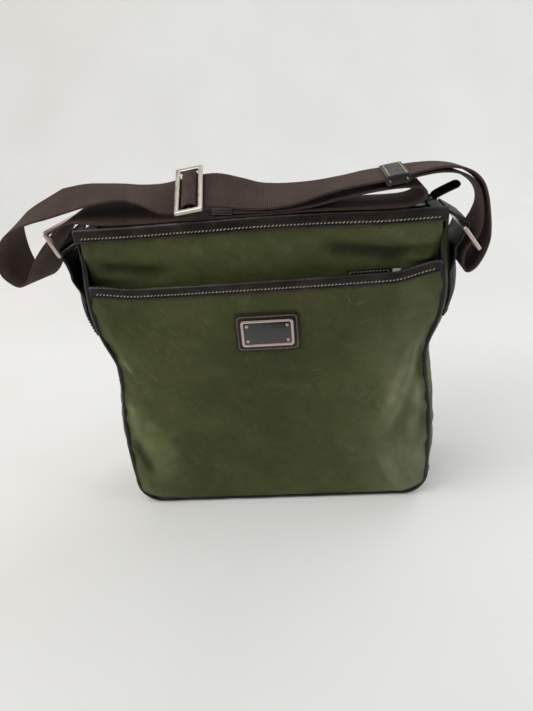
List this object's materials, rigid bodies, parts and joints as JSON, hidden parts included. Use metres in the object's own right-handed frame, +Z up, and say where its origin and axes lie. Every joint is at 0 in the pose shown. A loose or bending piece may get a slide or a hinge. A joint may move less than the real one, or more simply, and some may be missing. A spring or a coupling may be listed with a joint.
{
  "type": "messenger bag",
  "caption": "Slim waxed-nylon messenger bag with leather edging, a front slip pocket, a zipped mouth and an adjustable webbing shoulder strap on side rings.",
  "frame": {"origin": "middle of the base, on the surface that the bag stands on", "axes": "+X to the right across the front, +Y from the front (-Y) to the back, +Z up"},
  "size_m": [0.409, 0.0838, 0.3183],
  "materials": {
    "waxed_nylon": "waxed olive-green nylon, creased",
    "leather": "dark brown smooth leather",
    "webbing": "ribbed dark brown webbing",
    "ring_metal": "satin pale metal",
    "dark_metal": "dark satin metal",
    "enamel": "glossy black enamel",
    "lining": "smooth black lining cloth",
    "board": "matt stiffener board",
    "tag": "white woven tape",
    "zip_tape": "black woven tape"
  },
  "bodies": {
    "root": {"back_panel": "waxed_nylon", "back_piping": "leather", "badge_enamel": "enamel", "badge_patch": "leather", "badge_rim": "ring_metal", "badge_rivet_1": "ring_metal", "badge_rivet_2": "ring_metal", "badge_rivet_3": "ring_metal", "badge_rivet_4": "ring_metal", "base_board": "board", "base_panel": "waxed_nylon", "front_panel": "waxed_nylon", "front_piping": "leather", "front_pocket_panel": "waxed_nylon", "gusset_left": "waxed_nylon", "gusset_right": "waxed_nylon", "lining": "lining", "pocket_binding": "leather", "pocket_label": "leather", "pocket_tag": "tag", "side_tab_left": "leather", "side_tab_right": "leather", "strap_end_clip": "dark_metal", "strap_left_curl": "webbing", "strap_left_ring_turn": "webbing", "strap_lower_run": "webbing", "strap_main_run": "webbing", "strap_return_run": "webbing", "strap_right_curl": "webbing", "strap_right_inner": "webbing", "strap_right_outer": "webbing", "strap_right_ring_turn": "webbing", "strap_sleeve": "leather", "top_binding_back": "leather", "top_binding_front": "leather", "zip_end_left": "leather", "zip_end_right": "leather", "zip_tape_back": "zip_tape", "zip_tape_front": "zip_tape", "zip_teeth_back": "dark_metal", "zip_teeth_front": "dark_metal"},
    "zip_slider": {"zip_slider_top": "dark_metal", "zip_slider_base": "dark_metal"},
    "zip_pull": {"zip_pull_link": "dark_metal", "zip_pull_leather": "leather"},
    "left_ring": {"ring_left": "ring_metal"},
    "right_ring": {"ring_right": "ring_metal"},
    "buckle": {"buckle_frame": "ring_metal", "buckle_centre_bar": "ring_metal", "buckle_webbing_fold": "webbing"}
  },
  "joints": [
    {"name": "zip_slide", "type": "slide", "parent": "root", "child": "zip_slider", "axis": [1, 0, 0], "range_m": [-0.258, 0], "deforming": ["strap_lower_run", "strap_right_curl", "strap_return_run", "strap_end_clip"]},
    {"name": "zip_pull_swing", "type": "hinge", "parent": "zip_slider", "child": "zip_pull", "pos_m": [0.1338, 0, 0.2796], "axis": [0, 1, 0], "range_deg": [-8, 16]},
    {"name": "left_ring_swing", "type": "hinge", "parent": "root", "child": "left_ring", "pos_m": [-0.159, 0, 0.2645], "axis": [0.1736, 0.9848, 0], "range_deg": [-18, 18], "deforming": ["strap_left_ring_turn"]},
    {"name": "right_ring_swing", "type": "hinge", "parent": "root", "child": "right_ring", "pos_m": [0.1618, 0, 0.2632], "axis": [0, 1, 0], "range_deg": [-18, 18], "deforming": ["strap_right_ring_turn"]},
    {"name": "buckle_slide", "type": "slide", "parent": "root", "child": "buckle", "axis": [0.9929, 0, 0.1191], "range_m": [-0.008, 0.01]}
  ]
}
